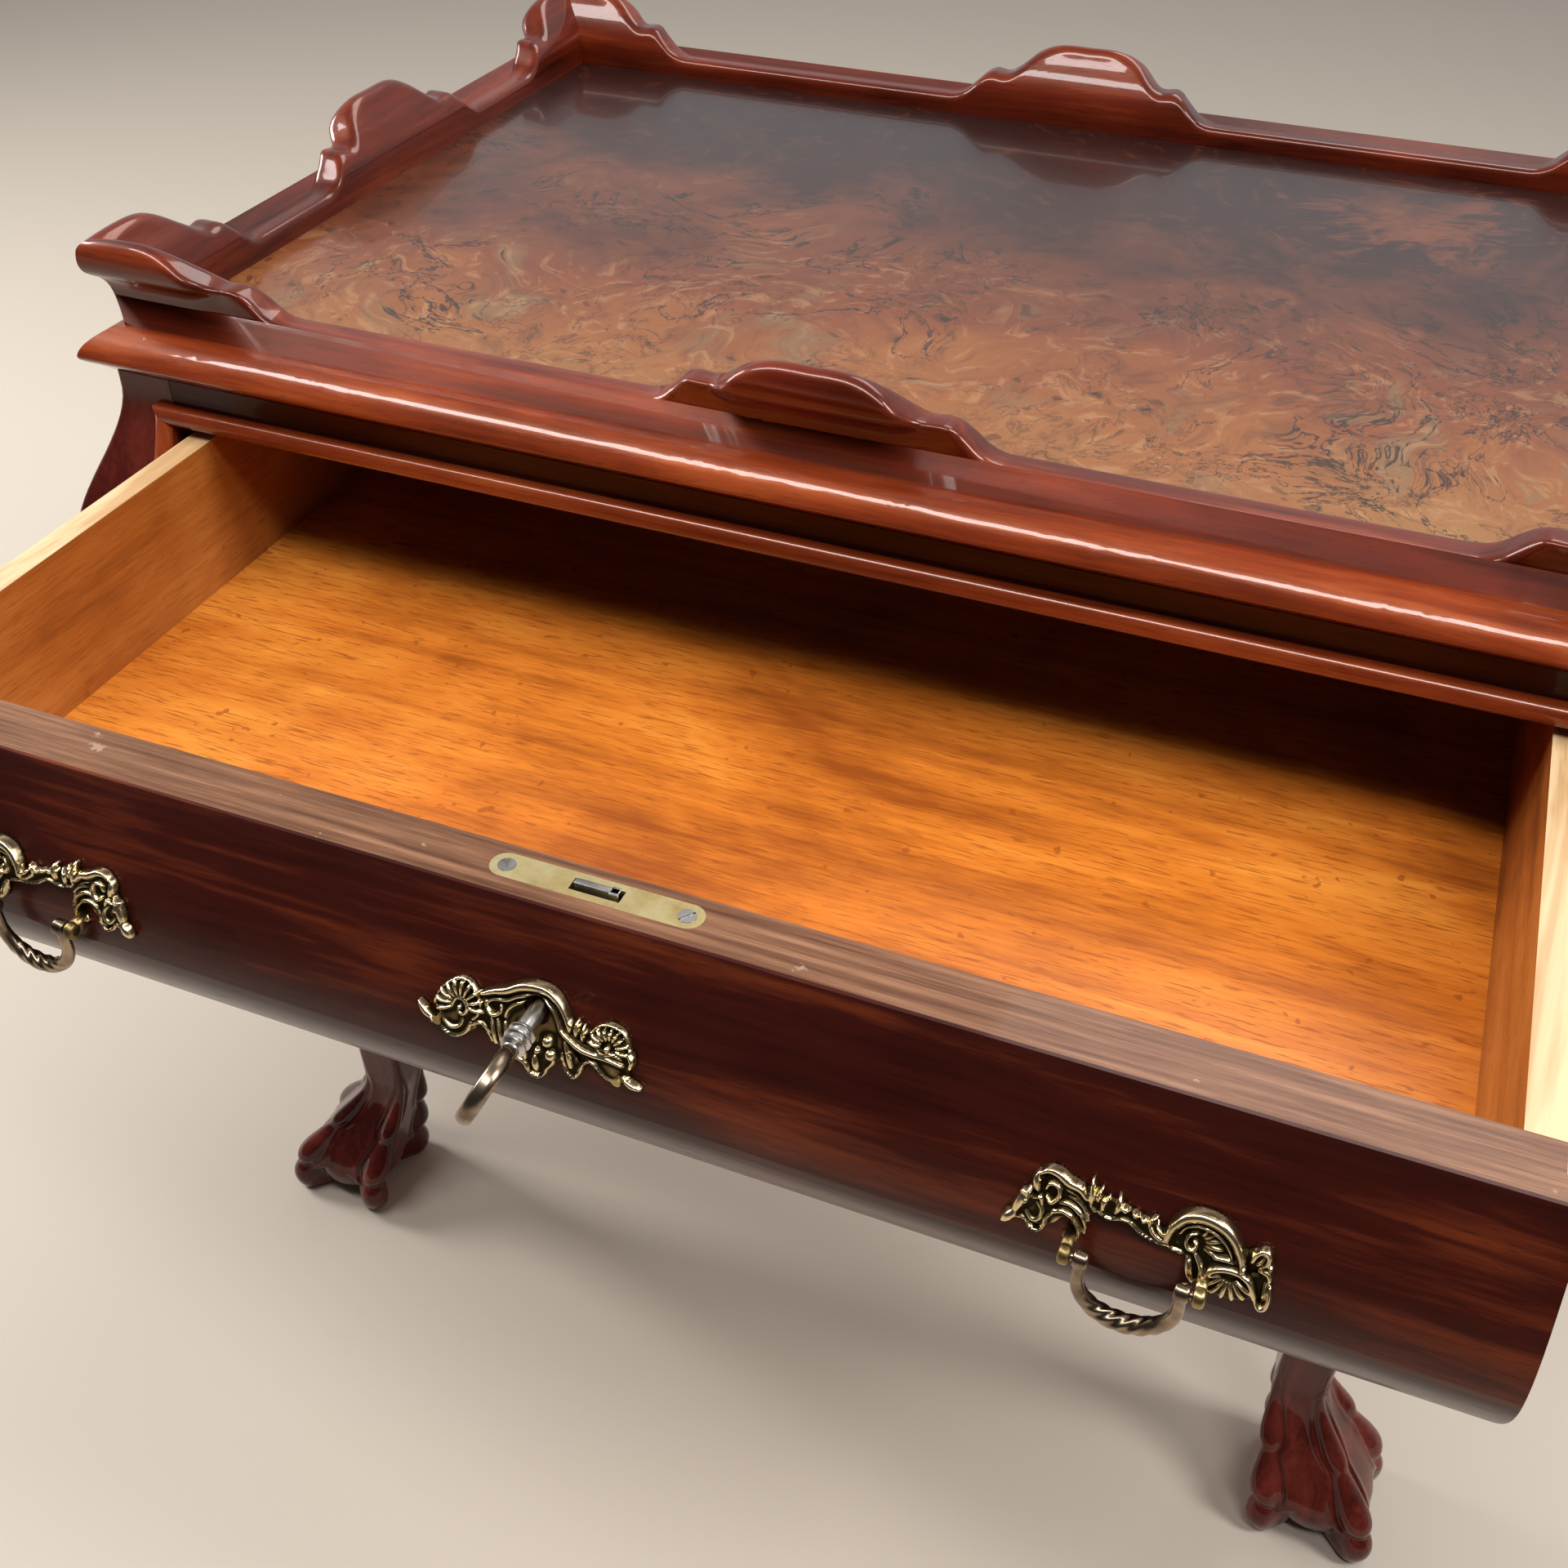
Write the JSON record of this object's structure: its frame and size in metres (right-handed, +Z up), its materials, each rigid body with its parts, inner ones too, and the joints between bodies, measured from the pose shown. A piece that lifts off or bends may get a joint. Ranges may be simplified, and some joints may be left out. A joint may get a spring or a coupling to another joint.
{
  "type": "tea table",
  "caption": "Small rectangular tea table with a scrolled tray gallery, a full-depth lockable drawer with drop handles, and cabriole legs on claw and ball feet.",
  "frame": {"origin": "on the floor, under the centre of the tray's surface", "axes": "+X along the table to the right as seen from the front, +Y from the front to the back, +Z up"},
  "size_m": [0.751, 0.783, 0.6565],
  "materials": {
    "burl_veneer": "gloss",
    "gallery_wood": "gloss",
    "moulding_wood": "gloss",
    "case_wood": "gloss",
    "leg_wood": "gloss",
    "front_wood": "satin",
    "drawer_wood": "satin",
    "drawer_bottom_wood": "satin",
    "secondary_wood": "matte",
    "brass": "satin",
    "antique_brass": "satin",
    "bronze": "satin",
    "steel": "satin"
  },
  "bodies": {
    "table": {"tray_board": "burl_veneer", "gallery_front": "gallery_wood", "gallery_back": "gallery_wood", "gallery_left": "gallery_wood", "gallery_right": "gallery_wood", "cornice_front": "moulding_wood", "cornice_back": "moulding_wood", "cornice_left": "moulding_wood", "cornice_right": "moulding_wood", "top_screws": "steel", "glue_blocks": "secondary_wood", "leg_front_left": "leg_wood", "leg_front_right": "leg_wood", "leg_back_left": "leg_wood", "leg_back_right": "leg_wood", "side_panel_left": "case_wood", "side_panel_right": "case_wood", "back_panel": "case_wood", "frieze_rail": "case_wood", "lower_rail": "case_wood", "bead_top": "moulding_wood", "bead_bottom": "moulding_wood", "bead_left": "moulding_wood", "bead_right": "moulding_wood", "runner_left": "secondary_wood", "runner_right": "secondary_wood", "guide_left": "secondary_wood", "guide_right": "secondary_wood", "kicker_left": "secondary_wood", "kicker_right": "secondary_wood", "drawer_stops": "secondary_wood", "strike_plate": "brass", "strike_screws": "steel"},
    "drawer": {"drawer_front": "front_wood", "drawer_side_left": "drawer_wood", "drawer_side_right": "drawer_wood", "drawer_back": "drawer_wood", "drawer_bottom": "drawer_bottom_wood", "bottom_brads": "steel", "lock_plate": "brass", "lock_case": "brass", "lock_pin": "steel", "lock_screws": "steel", "escutcheon": "antique_brass", "escutcheon_pins": "antique_brass", "handle_plate_left": "antique_brass", "handle_plate_right": "antique_brass", "handle_posts": "antique_brass", "handle_nuts": "antique_brass"},
    "key": {"key": "steel"},
    "lock_bolt": {"lock_bolt": "steel"},
    "bail_left": {"bail_left": "bronze"},
    "bail_right": {"bail_right": "bronze"}
  },
  "joints": [
    {"name": "drawer_slide", "type": "slide", "parent": "table", "child": "drawer", "axis": [0, -1, 0], "range_m": [-0.2238, 0.09]},
    {"name": "bail_left_swing", "type": "hinge", "parent": "drawer", "child": "bail_left", "pos_m": [-0.2035, -0.4894, 0.519], "axis": [-1, 0, 0], "range_deg": [0, 95]},
    {"name": "bail_right_swing", "type": "hinge", "parent": "drawer", "child": "bail_right", "pos_m": [0.2035, -0.4894, 0.519], "axis": [-1, 0, 0], "range_deg": [0, 95]},
    {"name": "key_turn", "type": "hinge", "parent": "drawer", "child": "key", "pos_m": [0, -0.47, 0.537], "axis": [0, 1, 0], "range_deg": [0, 180]},
    {"name": "bolt_slide", "type": "slide", "parent": "drawer", "child": "lock_bolt", "axis": [0, 0, 1], "range_m": [0, 0.006]}
  ],
  "couplings": [
    {"joint": "key_turn", "follows": "bolt_slide", "rad_per_m": 523.5}
  ]
}
